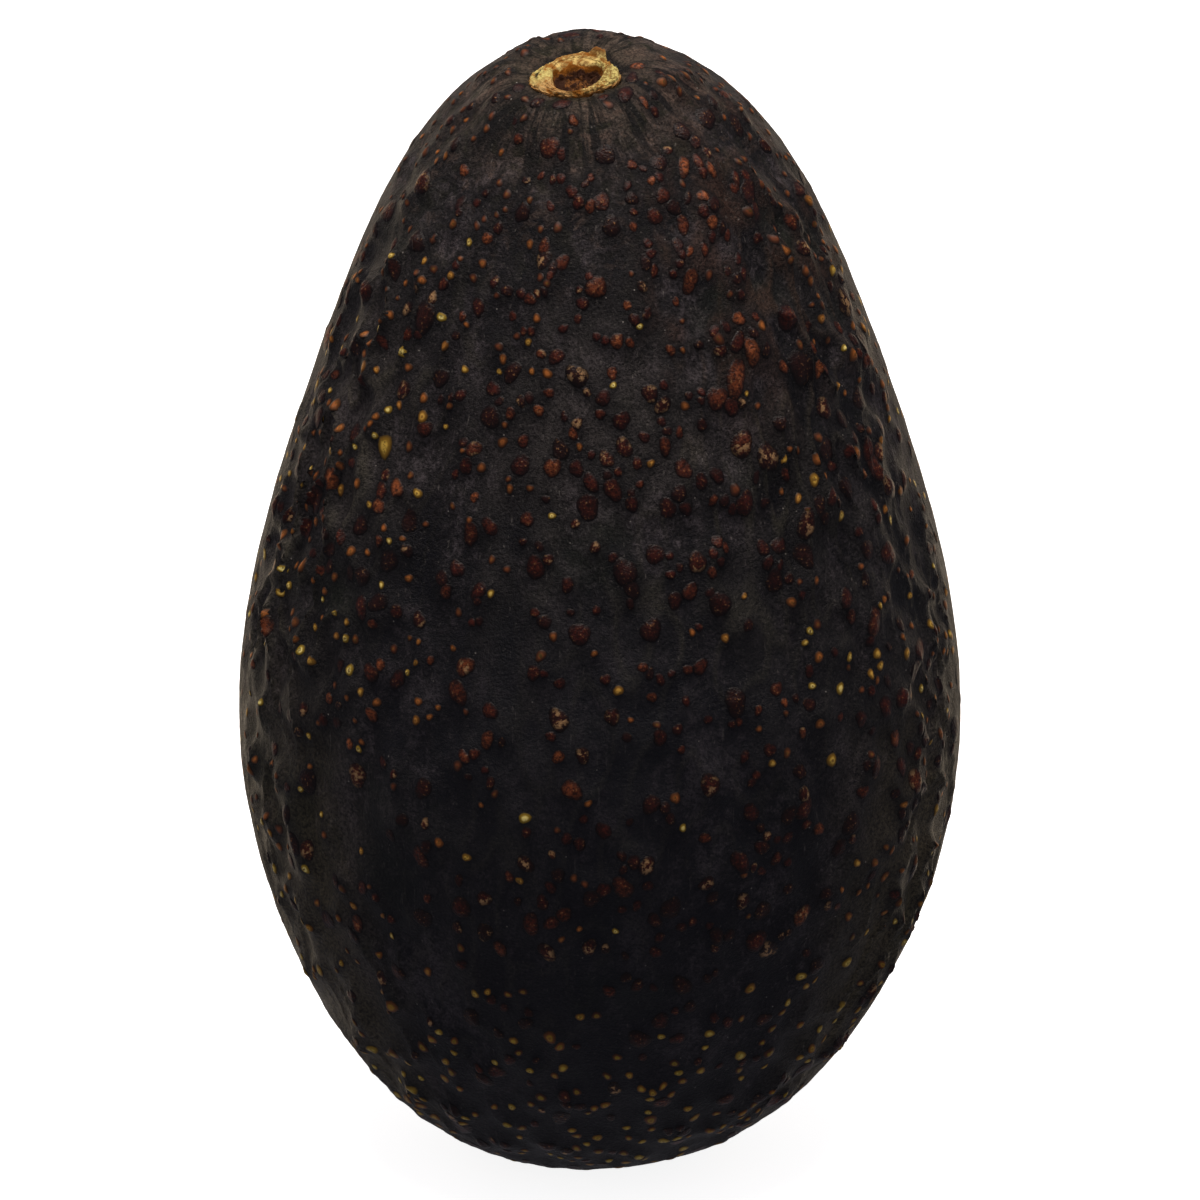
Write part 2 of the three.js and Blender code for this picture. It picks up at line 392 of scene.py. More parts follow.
    def outward(self, polar, azimuth):
        nudge = 1e-4
        polar = np.clip(polar, 10 * nudge, math.pi - 10 * nudge)
        down = self.smooth_skin(polar + nudge, azimuth) - self.smooth_skin(polar - nudge, azimuth)
        across = self.smooth_skin(polar, azimuth + nudge) - self.smooth_skin(polar, azimuth - nudge)
        normal = np.cross(down, across)
        return normal / np.linalg.norm(normal, axis=-1, keepdims=True)

    def scar_axes(self):
        """Directions in the scar's level: to the right of the view, and away from it."""
        across = np.cross([0.0, 1.0, 0.0], self.scar_normal)
        across /= np.linalg.norm(across)
        return across, np.cross(self.scar_normal, across)

    def around_scar(self, places):
        """Height over the scar's level, distance from its middle and angle round it."""
        across, deep = self.scar_axes()
        offset = places - self.scar_centre
        over = offset @ self.scar_normal
        aside = np.sqrt(np.maximum((offset**2).sum(-1) - over**2, 0))
        neck = places[:, 2] > self.length / 2
        return over, np.where(neck, aside, self.length), np.arctan2(offset @ deep, offset @ across)

    def skin(self, polar, azimuth):
        """The real skin, and the shares of crests, fine ridges and the scar's gap at each place."""
        place = self.smooth_skin(polar, azimuth)
        over, aside, turn = self.around_scar(place)
        away = smooth(SCAR_FLAT, SCAR_FADE, aside)
        widths = np.full(PEBBLE_COUNT, PEBBLE_WIDTH)
        pebbles = self.mounds(place, self.crowns, widths, self.crown_heights, PEBBLE_LENGTH)
        ridges = self.ridges(polar, azimuth)
        wrinkles = np.sin(polar) ** 2 * away * self.wrinkles(polar, azimuth)
        knobs = self.mounds(place, *zip(*self.knobs), KNOB_LENGTH) if self.knobs else 0
        flank = np.exp(-(((np.abs(view_angle(azimuth)) - FLANK_ANGLE) / FLANK_WIDTH) ** 2))
        fine = WRINKLE_HEIGHT * (1 + FLANK_WRINKLES * flank) * wrinkles
        outward = self.outward(polar, azimuth)
        calm = self.calm(outward)
        relief = calm * (1 + FLANK_GAIN * flank) * (away * (ridges + pebbles) + fine + knobs)
        relief += (1 - calm) * CALM_LEVEL * away * np.sin(polar)
        pucker = np.sin(19 * turn + 1.5 * np.sin(3 * turn + 0.4)) + 0.6 * np.sin(31 * turn + 2.0)
        relief += calm * PUCKER_HEIGHT * pucker * np.exp(-(((aside - PUCKER_RADIUS) / PUCKER_REACH) ** 2))
        rim = round_radius(RING_OUTER, turn)
        gap = np.exp(-(((aside - rim - GAP_AWAY) / GAP_HALF) ** 2)) * smooth(-0.1, 0.4, np.sin(turn + 0.3))
        relief -= GAP_DEPTH * gap
        crest = np.clip((pebbles + 1.5 * ridges) / (0.8 * self.pebble_height), 0, 1)
        sunk = over * (1 - away) + PIT_DEPTH * (1 - smooth(rim - 0.4, rim + 0.1, aside))
        place += outward * relief[:, None] - self.scar_normal * sunk[:, None]
        place[:, 2] = np.maximum(place[:, 2], 0)
        return place, {"crest": crest * away, "wrinkle": wrinkles, "gap": gap}


def new_mesh(name, places, faces, attributes, material):
    """A smooth-shaded mesh object from places in millimetres, with point attributes and a material."""
    mesh = bpy.data.meshes.new(name)
    mesh.from_pydata((places * MM).tolist(), [], faces)
    mesh.validate()
    for key, values in attributes.items():
        values = np.asarray(values, dtype=np.float32)
        flat = values.ndim == 1
        layer = mesh.attributes.new(key, "FLOAT" if flat else "FLOAT_VECTOR", "POINT")
        layer.data.foreach_set("value" if flat else "vector", values.ravel())
    mesh.shade_smooth()
    mesh.materials.append(material)
    piece = bpy.data.objects.new(name, mesh)
    bpy.context.scene.collection.objects.link(piece)
    return piece


def feed(tree, node, inputs):
    """Sets a node's sockets, each to a value or to the output that feeds it."""
    for key, value in inputs.items():
        if isinstance(value, bpy.types.NodeSocket):
            tree.links.new(value, node.inputs[key])
        else:
            node.inputs[key].default_value = value


def add_node(tree, kind, inputs=None, stops=None, **settings):
    """Adds a node with its settings, its sockets' values or links, and a ramp's stops."""
    made = tree.nodes.new(kind)
    for key, value in settings.items():
        setattr(made, key, value)
    feed(tree, made, inputs or {})
    for number, (place, colour) in enumerate(stops or ()):
        elements = made.color_ramp.elements
        stop = elements[number] if number < 2 else elements.new(place)
        stop.position, stop.color = place, colour
    return made


def new_material(name):
    """A material with an empty tree, its shader and its output."""
    material = bpy.data.materials.new(name)
    material.use_nodes = True
    tree = material.node_tree
    tree.nodes.clear()
    shader = add_node(tree, "ShaderNodeBsdfPrincipled")
    add_node(tree, "ShaderNodeOutputMaterial", {"Surface": shader.outputs["BSDF"]})
    return material, tree, shader


def per_metre(millimetres):
    """A texture scale that makes one feature about this many millimetres wide."""
    return 1 / (millimetres * MM)


def point_shares(tree, *names):
    """The outputs of the named point attributes."""
    return [add_node(tree, "ShaderNodeAttribute", attribute_name=name).outputs["Fac"] for name in names]


def noise_share(tree, vector, scale, detail, roughness, distortion=0.0, **settings):
    """A noise texture's value at a vector."""
    inputs = {"Vector": vector, "Scale": scale, "Detail": detail, "Roughness": roughness}
    inputs["Distortion"] = distortion
    return add_node(tree, "ShaderNodeTexNoise", inputs, **settings).outputs["Fac"]


def computed(tree, operation, *values):
    """The result of a calculation on two or three values."""
    return add_node(tree, "ShaderNodeMath", dict(enumerate(values)), operation=operation).outputs["Value"]


def ranged(tree, value, low, high, start=0.0, end=1.0, **settings):
    """start where the value is at low, end where it is at high, and held at both."""
    inputs = {"Value": value, "From Min": low, "From Max": high, "To Min": start, "To Max": end}
    return add_node(tree, "ShaderNodeMapRange", inputs, **settings).outputs["Result"]


def ramp(tree, value, *stops):
    """The colour between stops of a place and a colour. Later stops may lie between the first two."""
    return add_node(tree, "ShaderNodeValToRGB", {"Fac": value}, stops).outputs["Color"]


def tinted(tree, colour, share, tint):
    """A colour with a share of a tint over it."""
    inputs = {SHARE: share, FIRST: colour, SECOND: tint}
    return add_node(tree, "ShaderNodeMix", inputs, data_type="RGBA").outputs[MIXED]


def layered(tree, colour, layers):
    """A colour under layers: each one's label, rule, where that starts and fills it, its most and tint."""
    for label, source, low, high, most, tint in layers:
        share = ranged(tree, source, low, high, 0.0, most, label=label)
        colour = tinted(tree, colour, share, tint)
    return colour


def bumped(tree, bumps):
    """The normal over bumps, each with what rules it, its strength and its depth in millimetres."""
    under = {}
    for height, strength, depth in bumps:
        inputs = {"Height": height, "Strength": strength, "Distance": depth * MM, **under}
        under = {"Normal": add_node(tree, "ShaderNodeBump", inputs).outputs["Normal"]}
    return under["Normal"]


def skin_material(colours):
    """Ripe avocado rind, grown: near black with a dull grey bloom of wax, which gives a dim, cloudy sheen."""
    material, tree, shader = new_material("ripe avocado rind")
    place = add_node(tree, "ShaderNodeTexCoord").outputs["Object"]
    along = add_node(tree, "ShaderNodeMapping", {"Vector": place, "Scale": (1, 1, 0.5)}).outputs["Vector"]
    turned = {"Vector": place, "Rotation": (0.2, 0.5, 0.3), "Scale": (1, 1, 0.07)}
    slant = add_node(tree, "ShaderNodeMapping", turned).outputs["Vector"]
    crest, wrinkle, flank_highlight, spot_and_gap_shade, from_scar, russet, low, end, pale, flank = point_shares(
        tree, "crest", "wrinkle", "flank_highlight", "spot_and_gap_shade", "from_scar", "russet", "low", "end", "pale", "flank"
    )
    scar_ways = add_node(tree, "ShaderNodeAttribute", attribute_name="scar_ways").outputs["Vector"]
    cloud = noise_share(tree, along, per_metre(5.0), 4.0, 0.6, 0.4)
    mottle = noise_share(tree, place, per_metre(1.1), 6.0, 0.8, 0.2)
    grain = noise_share(tree, place, per_metre(0.3), 3.0, 0.75)
    moss = noise_share(tree, place, per_metre(16), 3.0, 0.6)
    scratch = noise_share(tree, slant, per_metre(0.3), 1.0, 0.5)
    streak = noise_share(tree, scar_ways, 7.0, 3.0, 0.7)
    patch = noise_share(tree, place, per_metre(2.2), 4.0, 0.65, 0.5)
    creases = noise_share(tree, along, per_metre(2.4), 1.0, 0.5, 0.4, noise_type="RIDGED_MULTIFRACTAL")

    # Cloudy bloom in patches of a few millimetres, from blue-black to grey, with crisp mottling.
    bloom = ranged(tree, computed(tree, "ADD", mottle, cloud), 0.7, 1.31)
    stops = (0.28, tuple(colours.skin_deep)), (0.8, tuple(colours.skin_bloom)), (0.5, linear("141215"))
    near_scar = ranged(tree, from_scar, 20, 8, 0.0, 0.95)
    layers = (
        # Painted light and painted shade: the skin is lighter or darker in set areas where more or less light
        # falls.
        ("painted light areas", pale, 0.0, 1.0, 0.5, linear("423D3B")),
        ("painted shade areas", pale, 0.0, -1.0, 0.65, linear("07080B")),
        # The low flanks are painted lighter and warmer, as painted light.
        ("painted light on the low flanks", flank, 0.0, 1.0, 0.75, linear("4E4736")),
        ("grey-brown by the scar", from_scar, 14, 6, 0.7, linear("54483F")),
        # Crests are lighter, partly from wear and partly as painted highlight.
        ("wear and painted highlight on crests", crest, 0.3, 1.0, 0.35, linear("2B2826")),
        # The crests of the fine ridges are painted lighter, as painted highlight.
        ("painted highlight on fine ridges", wrinkle, 0.1, 0.8, 0.5, linear("38352B")),
        # Painted highlight along the fine ridge crests on the flanks.
        ("painted highlight lines on the flanks", flank_highlight, 0.3, 0.9, 0.4, linear("4A453B")),
        ("moss-green patches", moss, 0.56, 0.72, 0.55, linear("121A0C")),
        ("russet ridges", russet, 0.0, 1.0, 0.65, linear("38251C")),
        ("pale patches by the scar", patch, 0.53, 0.62, near_scar, linear("4E4038")),
        ("olive patches by the scar", patch, 0.47, 0.4, near_scar, linear("1E1D13")),
        ("dark streaks by the scar", streak, 0.53, 0.42, near_scar, linear("08080A")),
        ("olive by the scar", from_scar, 8.5, 4.6, 0.4, linear("2C271A")),
        ("scratches", scratch, 0.7, 0.78, 0.35, linear("6A6560")),
        # Painted shade round each spot and in the gap by the scar.
        ("painted shade round the spots and in the gap", spot_and_gap_shade, 0.15, 0.9, 0.7, linear("09080C")),
    )
    colour = layered(tree, ramp(tree, bloom, *stops), layers)

    # Fine grain over all of it, then specks of dry wax that also serve as painted glints: many dim ones and a
    # few bright ones.
    lift = {"Vector": colour, "Scale": ranged(tree, grain, 0.36, 0.64, 0.33, 2.05)}
    colour = add_node(tree, "ShaderNodeVectorMath", lift, operation="SCALE").outputs["Vector"]
    for gap, radius, most, tint in ((0.8, 0.16, 0.5, linear("5A5652")), (2.0, 0.05, 0.85, linear("A8A29A"))):
        inputs = {"Vector": place, "Scale": per_metre(gap), "Randomness": 1.0}
        specks_and_glints = add_node(tree, "ShaderNodeTexVoronoi", inputs).outputs["Distance"]
        colour = tinted(tree, colour, ranged(tree, specks_and_glints, radius, radius / 3, 0.0, most), tint)

    # Low down in front the skin is painted more even and dim, as painted shade, and at the blossom end
    # darker, as painted shade.
    colour = tinted(tree, colour, computed(tree, "MULTIPLY", low, 0.62), linear("1B1C23"))
    colour = tinted(tree, colour, computed(tree, "MULTIPLY", end, 0.5), linear("060608"))
    gloss = ranged(tree, bloom, 0.2, 0.8, 0.42, 0.62)

    # Soft unevenness of a few millimetres, a leathery crumple of one, then a fine grain.
    bumps = (cloud, 0.6, 0.4), (creases, 0.7, 0.2), (mottle, 0.7, 0.37), (grain, 0.8, 0.32)
    inputs = {"Base Color": colour, "Roughness": gloss, "Normal": bumped(tree, bumps)}
    feed(tree, shader, {**inputs, "IOR": 1.42, "Specular IOR Level": 0.2})
    return material


def wart_material(colours):
    """Wound cork on the rind's bumps, grown: granular and maroon, which gives dull red-brown spots."""
    material, tree, shader = new_material("maroon wound cork")
    place = add_node(tree, "ShaderNodeTexCoord").outputs["Object"]
    tone, reach, scab = point_shares(tree, "tone", "reach", "scab")
    colour = ramp(
        tree,
        tone,
        (0.0, tuple(colours.wart_dark)),
        (1.0, linear("8A4A28")),
        (0.55, tuple(colours.wart_light)),
        (0.85, linear("5A2A18")),
    )
    crumbs = noise_share(tree, place, per_metre(0.3), 2.0, 0.65)
    flakes = noise_share(tree, place, per_metre(0.75), 4.0, 0.65)
    flaky = computed(tree, "MULTIPLY_ADD", scab, 0.2, flakes)
    layers = (
        ("dark patches", flakes, 0.5, 0.36, 0.6, linear("180A0A")),
        ("dark crumbs", crumbs, 0.52, 0.4, 0.75, linear("180A08")),
        # Light crumbs, partly the cork's own grain and partly painted glints.
        ("light crumbs and painted glints", crumbs, 0.62, 0.7, 0.5, linear("A87A4E")),
        ("pale scabs", flaky, 0.73, 0.8, 0.85, linear("9E7C56")),
        # Painted shade at each wart's edge, which also fades it into the dark skin.
        ("dark rims", reach, 0.4, 0.95, 0.96, linear("0C090B")),
    )
    inputs = {"Base Color": layered(tree, colour, layers), "Normal": bumped(tree, [(crumbs, 0.8, 0.16)])}
    feed(tree, shader, {**inputs, "Roughness": 0.42, "Specular IOR Level": 0.15})
    return material


def lenticel_material(colours):
    """Breathing pores of the rind, grown: waxy cork dots, which give small yellow to orange lights."""
    material, tree, shader = new_material("yellow lenticel wax")
    tone, reach, pore, low = point_shares(tree, "tone", "reach", "scab", "low")
    middle = ramp(
        tree,
        tone,
        (0.0, tuple(colours.lenticel_middle)),
        (1.0, linear("603018")),
        (0.25, linear("D0AA48")),
        (0.5, linear("A4602A")),
    )
    stops = (0.0, tuple(colours.lenticel_ring)), (1.0, linear("3A1C0F")), (0.5, linear("64380F"))
    ring = ramp(tree, tone, *stops)
    hole = computed(tree, "MULTIPLY", ranged(tree, reach, 0.3, 0.12), pore)
    place = add_node(tree, "ShaderNodeTexCoord").outputs["Object"]
    crumbs = noise_share(tree, place, per_metre(0.45), 3.0, 0.7)
    layers = (
        ("dark crumbs", crumbs, 0.5, 0.38, 0.85, linear("3E320E")),
        ("olive low down", low, 0.0, 1.0, 0.65, linear("857418")),
        ("open pores", hole, 0.0, 1.0, 0.9, linear("6E4A1C")),
        ("rings", reach, 0.32, 0.6, 1.0, ring),
        ("dark rims", reach, 0.65, 1.0, 1.0, linear("100D0A")),
    )
    colour = layered(tree, middle, layers)
    feed(tree, shader, {"Base Color": colour, "Roughness": 0.5, "Specular IOR Level": 0.2})
    return material


def cork_material(colours):
    """Dry cork of the stalk's base, torn: crumbly tan on the ring, brown fibre down in the hollow."""
    material, tree, shader = new_material("tan stalk cork")
    place = add_node(tree, "ShaderNodeTexCoord").outputs["Object"]
    hollow, wall, flake, crust, pits, pink, green, far = point_shares(
        tree, "hollow", "wall", "flake", "crust", "pits", "pink", "green", "far"
    )
    crumbs = noise_share(tree, place, per_metre(0.35), 4.0, 0.65)
    flows = noise_share(tree, place, per_metre(1.0), 4.0, 0.65, 0.6)
    deep = computed(tree, "MULTIPLY_ADD", flows, 0.9, hollow)
    pitted = computed(tree, "MULTIPLY_ADD", pits, -0.12, crumbs)
    creases = computed(tree, "COMPARE", flows, 0.5, 0.012)
    crevice_shade = computed(tree, "MULTIPLY_ADD", crumbs, 0.8, crust)
    stained = computed(tree, "MULTIPLY_ADD", far, 0.2, flows)
    fibre = ramp(tree, crumbs, (0.36, linear("2A1406")), (0.64, linear("8A5828")))
    layers = (
        ("greenish sides", green, 0.0, 1.0, 0.7, linear("C0B870")),
        ("pinkish near side", pink, 0.0, 1.0, 0.75, linear("B88C5A")),
        ("brown flows", flows, 0.49, 0.6, 0.8, linear("9A6826")),
        ("stained far side", stained, 0.56, 0.78, 0.8, linear("7E4E16")),
        ("creases", creases, 0.0, 1.0, 0.6, linear("5E3C1A")),
        ("pits", pitted, 0.44, 0.34, 0.75, tuple(colours.cork_pit)),
        # The outer wall's reddish brown, lightened as painted light.
        ("outer wall with painted light", wall, 0.0, 1.0, 0.8, linear("A87440")),
        ("hollow's lip", deep, 0.5, 0.62, 1.0, linear("8C5410")),
        # Painted shade on the hollow's wall, under the far rim.
        ("painted shade on the hollow's wall", deep, 0.9, 1.15, 1.0, linear("301604")),
        ("fibrous floor", deep, 1.5, 1.6, 1.0, fibre),
        ("flake", flake, 0.3, 0.8, 1.0, linear("805424")),
        # Painted shade in the crevice of the left crust.
        ("crevice", crevice_shade, 0.75, 1.1, 1.0, linear("2E2614")),
    )
    colour = layered(tree, tuple(colours.cork), layers)
    inputs = {"Base Color": colour, "Normal": bumped(tree, [(crumbs, 0.7, 0.18)])}
    feed(tree, shader, {**inputs, "Roughness": 0.85, "Specular IOR Level": 0.25})
    return material


def cube_ball(cells):
    """Directions and faces of a ball made from a cube with cells squares along each edge."""
    steps = np.tan(np.linspace(-math.pi / 4, math.pi / 4, cells + 1))
    first, second = np.meshgrid(steps, steps, indexing="ij")
    ones = np.ones_like(first)
    sides = [
        (ones, first, second),
        (-ones, -first, second),
        (-first, ones, second),
        (first, -ones, second),
        (-second, first, ones),
        (second, first, -ones),
    ]
    ways = np.concatenate([np.stack(side, -1).reshape(-1, 3) for side in sides])
    ways /= np.linalg.norm(ways, axis=1, keepdims=True)
    corner = (np.arange(cells)[:, None] * (cells + 1) + np.arange(cells)[None, :]).ravel()
    quads = np.stack([corner, corner + cells + 1, corner + cells + 2, corner + 1], -1)
    quads = np.concatenate([quads + side * (cells + 1) ** 2 for side in range(6)])
    _, first_of, place_of = np.unique(np.round(ways, 7), axis=0, return_index=True, return_inverse=True)
    return ways[first_of], place_of.ravel()[quads]


SPOT = np.dtype(
    [(key, float) for key in ("polar", "azimuth", "radius", "length", "lean", "height", "tone", "wart")]
)


def wart_share(angle, level):
    """How many of the spots are warts: most in the front and back, few on the flanks and low down."""
    front = np.exp(-(((angle - 10) / 46) ** 2)) * (0.1 + 0.9 * smooth(10, 34, level))
    back = 0.8 * np.exp(-(((np.abs(angle) - 165) / 40) ** 2))
    return 0.22 + 0.7 * np.maximum(front, back)


def spot_share(angle, level):
    """How many of the spots are kept: few low down in the front, most by the blossom end and aside."""
    front = np.exp(-(((angle + 14) / 65) ** 2)) * smooth(66, 48, level) * smooth(8, 22, level)
    sides = smooth(12, 35, np.abs(angle)) * smooth(56, 70, level)
    return (0.75 + 0.25 * np.maximum(smooth(26, 12, level), sides)) * (1 - 0.4 * front)


def spot_height(radius):
    return SPOT_HEIGHT * (0.5 + radius)


def marked_spots(fruit):
    """The spots that stand out in the view, each on the skin that shows at its place."""
    grid = np.meshgrid(np.linspace(0.05, math.pi - 0.05, 700), np.linspace(-math.pi, math.pi, 900))
    polar, azimuth = (angles.ravel() for angles in grid)
    places = fruit.smooth_skin(polar, azimuth)
    up = np.array([0, math.sin(VIEW_ELEVATION), math.cos(VIEW_ELEVATION)])
    rise = places @ up
    fall = rise.max() - rise
    hidden = fruit.outward(polar, azimuth) @ TO_EYE < 0.1
    spots = np.zeros(len(MARKED_WARTS) + len(MARKED_LENTICELS), SPOT)
    for index, (aside, down, radius, length, tone) in enumerate(MARKED_WARTS + MARKED_LENTICELS):
        miss = np.hypot(places[:, 0] - aside, fall - down) + np.where(hidden, fruit.length, 0)
        best = miss.argmin()
        wart = index < len(MARKED_WARTS)
        lean = 0.8 * (draw(index, 41) - 0.5)
        height = spot_height(radius)
        spots[index] = (polar[best], azimuth[best], radius, length, lean, height, tone, wart)
    return spots


def drawn_spots(fruit, number):
    """Spots drawn by chance: one on nearly every pebble, then smaller ones above, below and beside them."""
    on_crown = number < PEBBLE_COUNT
    crown = np.where(on_crown, number, PEBBLE_COUNT * draw(number, 30)).astype(int)
    away = np.where(on_crown, 0.6 * draw(number, 31), 0.7 + 2.5 * draw(number, 31) ** 1.3)
    turn = TAU * draw(number, 32)
    polar, azimuth = fruit.moved(
        fruit.crown_polars[crown],
        fruit.crown_azimuths[crown],
        0.75 * away * np.cos(turn),
        1.25 * away * np.sin(turn),
    )
    polar = np.clip(polar, 0.02, math.pi - 0.02)
    angle = view_angle(azimuth)
    level = fruit.smooth_skin(polar, azimuth)[:, 2]
    spots = np.zeros(len(number), SPOT)
    spots["polar"] = polar
    spots["azimuth"] = azimuth
    share = wart_share(angle, level)
    spots["wart"] = draw(number, 33) < share
    wart = spots["wart"] > 0
    size = draw(number, 34)
    spots["radius"] = np.where(wart, 0.5 + 0.64 * size**2, 0.36 + 0.26 * size**1.7)
    spots["radius"] *= np.where(on_crown, 1, 0.85)
    spots["radius"] *= 1 + 0.18 * wart * smooth(25, 50, np.abs(angle)) + 0.2 * ~wart * smooth(38, 16, level)
    spots["radius"] *= 1 - 0.1 * smooth(84, 98, level)
    stretched = smooth(5, 30, angle) * (1 - smooth(55, 80, angle)) * smooth(60, 85, level)
    spots["length"] = 1 + (0.45 + 0.5 * stretched) * draw(number, 35) * np.where(wart, 1, 0.6)
    spots["lean"] = 1.1 * (draw(number, 36) - 0.5)
    spots["height"] = spot_height(spots["radius"]) * (0.7 + 0.6 * draw(number, 37))
    tone = draw(number, 38)
    dull = 0.35 * (1 - smooth(20, 55, level))
    browned = np.clip(tone + 0.5 * (share - 0.3) + 0.5 * smooth(82, 98, level), 0, 1)
    spots["tone"] = np.where(wart, tone**1.4 * (1 - dull), browned)
    return spots


def place_spots(fruit, count):
    """Warts and lenticels, and their places: first the marked ones, then drawn ones that keep clear."""
    spots = np.concatenate([marked_spots(fruit), drawn_spots(fruit, np.arange(DRAWS_PER_SPOT * count))])
    places = fruit.smooth_skin(spots["polar"], spots["azimuth"])
    _, from_scar, _ = fruit.around_scar(places)
    room = np.where(spots["wart"] > 0, -0.2, 0.12)
    wanted = spot_share(view_angle(spots["azimuth"]), places[:, 2])
    wanted[: len(MARKED_WARTS) + len(MARKED_LENTICELS)] = 1
    fits = (from_scar > BARE_RADIUS) & (places[:, 2] > LOWEST_SPOT)
    fits &= draw(np.arange(len(spots)), 39) < wanted
    kept = []
    for index in np.flatnonzero(fits):
        if len(kept) == count:
            break
        gaps = np.linalg.norm(places[kept] - places[index], axis=1) - spots["radius"][kept]
        if not kept or gaps.min() > spots["radius"][index] + room[index]:
            kept.append(index)
    return spots[kept], places[kept]


def spot_field(fruit, spots, rings, sides, profile):
    """Small raised spots on the skin. Each is a disc of rings whose outline wavers."""
    spots = spots[:, None, None]
    count = len(spots)
    index = np.arange(count)[:, None, None]
    turn = (np.arange(sides) / sides * TAU)[None, None, :]
    share = np.array(rings)[None, :, None]
    waver = 1.0
    for wave, depth in ((2, 0.11), (3, 0.07), (5, 0.03)):
        waver = waver + depth * np.sin(wave * turn + TAU * draw(index, 20 + wave))
    reach = spots["radius"] * share * waver
    across = reach * np.cos(turn)
    down = reach * np.sin(turn) * spots["length"]
    lean = spots["lean"]
    polar, azimuth = fruit.moved(
        spots["polar"],
        spots["azimuth"],
        across * np.cos(lean) - down * np.sin(lean),
        across * np.sin(lean) + down * np.cos(lean),
    )
    shape = polar.shape
    base, _ = fruit.skin(polar.ravel(), azimuth.ravel())
    grain = draw(index * 997 + np.arange(len(rings))[None, :, None] * 31 + np.arange(sides), 40) - 0.5
    up = spots["height"] * (profile(share) + 0.16 * grain * (share < 0.98))
    outward = fruit.outward(polar.ravel(), azimuth.ravel())
    places = base + outward * (fruit.calm(outward) * up.ravel())[:, None]
    per_spot = len(rings) * sides
    starts = np.arange(count) * per_spot
    quads = (starts[:, None, None, None] + row_quads(len(rings), sides)).reshape(-1, 4)
    tops = [list(range(start, start + sides)) for start in starts.tolist()]
    reaches = np.broadcast_to(share, shape).ravel()
    tones = np.broadcast_to(spots["tone"], shape).ravel()
    marked = draw(index, 50) < np.where(spots["wart"] > 0, SCAB_SHARE, PORE_SHARE)
    scabs = np.broadcast_to(marked, shape).ravel()
    low = smooth(38, 16, places[:, 2])
    return places, quads.tolist() + tops, {"reach": reaches, "tone": tones, "scab": scabs, "low": low}


def length_property(name, description, default, least):
    """A length in metres that the panel shows."""
    return FloatProperty(name=name, description=description, default=default, min=least, unit="LENGTH")


def colour_property(name, description, code):
    """A colour that the panel shows, from an sRGB hex code."""
    return FloatVectorProperty(
        name=name, description=description, default=linear(code), size=4, min=0, max=1, subtype="COLOR"
    )


class FruitSizes(bpy.types.PropertyGroup):
    length: length_property("Length", "Neck to blossom end, before the flat spot", 0.1102, 0.05)
    width: length_property("Width", "Across the belly", 0.0668, 0.03)
    pebble_height: length_property(
        "Pebble height", "Crown of the tallest pebbles above the smooth skin", 0.00045, 0
    )
    cells: IntProperty(
        name="Skin cells",
        description="Squares along each of the skin's twelve long seams",
        default=128,
        min=8,
        max=128,
    )
    spot_count: IntProperty(
        name="Spots",
        description="Warts and lenticels on the whole skin",
        default=3400,
        min=1,
    )


class FruitColours(bpy.types.PropertyGroup):
    skin_deep: colour_property("Rind, deep", "Blue-black of the bare rind", "08080E")
    skin_bloom: colour_property("Rind, bloom", "Grey of the waxy bloom on the rind", "3D383B")
    wart_dark: colour_property("Wart, dark", "Maroon of the darkest warts", "230F0E")
    wart_light: colour_property("Wart, light", "Red-brown of the middling warts", "431811")
    lenticel_middle: colour_property("Lenticel, middle", "Yellow in the middle of a lenticel", "F6E48C")
    lenticel_ring: colour_property("Lenticel, ring", "Ochre round the middle of a lenticel", "8A701C")
    cork: colour_property("Cork", "Tan of the stalk's cork", "DCC078")
    cork_pit: colour_property("Cork, pits", "Brown down in the pits of the cork", "6A4A18")


shared = {}


def spotted_fruit():
    """The fruit's surface with a knob under every wart and lenticel, and the spots, worked out once."""
    if not shared:
        sizes = bpy.context.scene.avocado_sizes
        fruit = Fruit(sizes)
        spots, places = place_spots(fruit, sizes.spot_count)
        heights = KNOB_HEIGHT + KNOB_HEIGHT_GAIN * spots["radius"]
        widths = KNOB_WIDTH + KNOB_WIDTH_GAIN * spots["radius"]
        fruit.knobs = list(zip(places, widths, heights))
        fruit.spot_places, fruit.spot_radii = places, spots["radius"]
        shared.update(fruit=fruit, spots=spots)
    return shared["fruit"], shared["spots"]


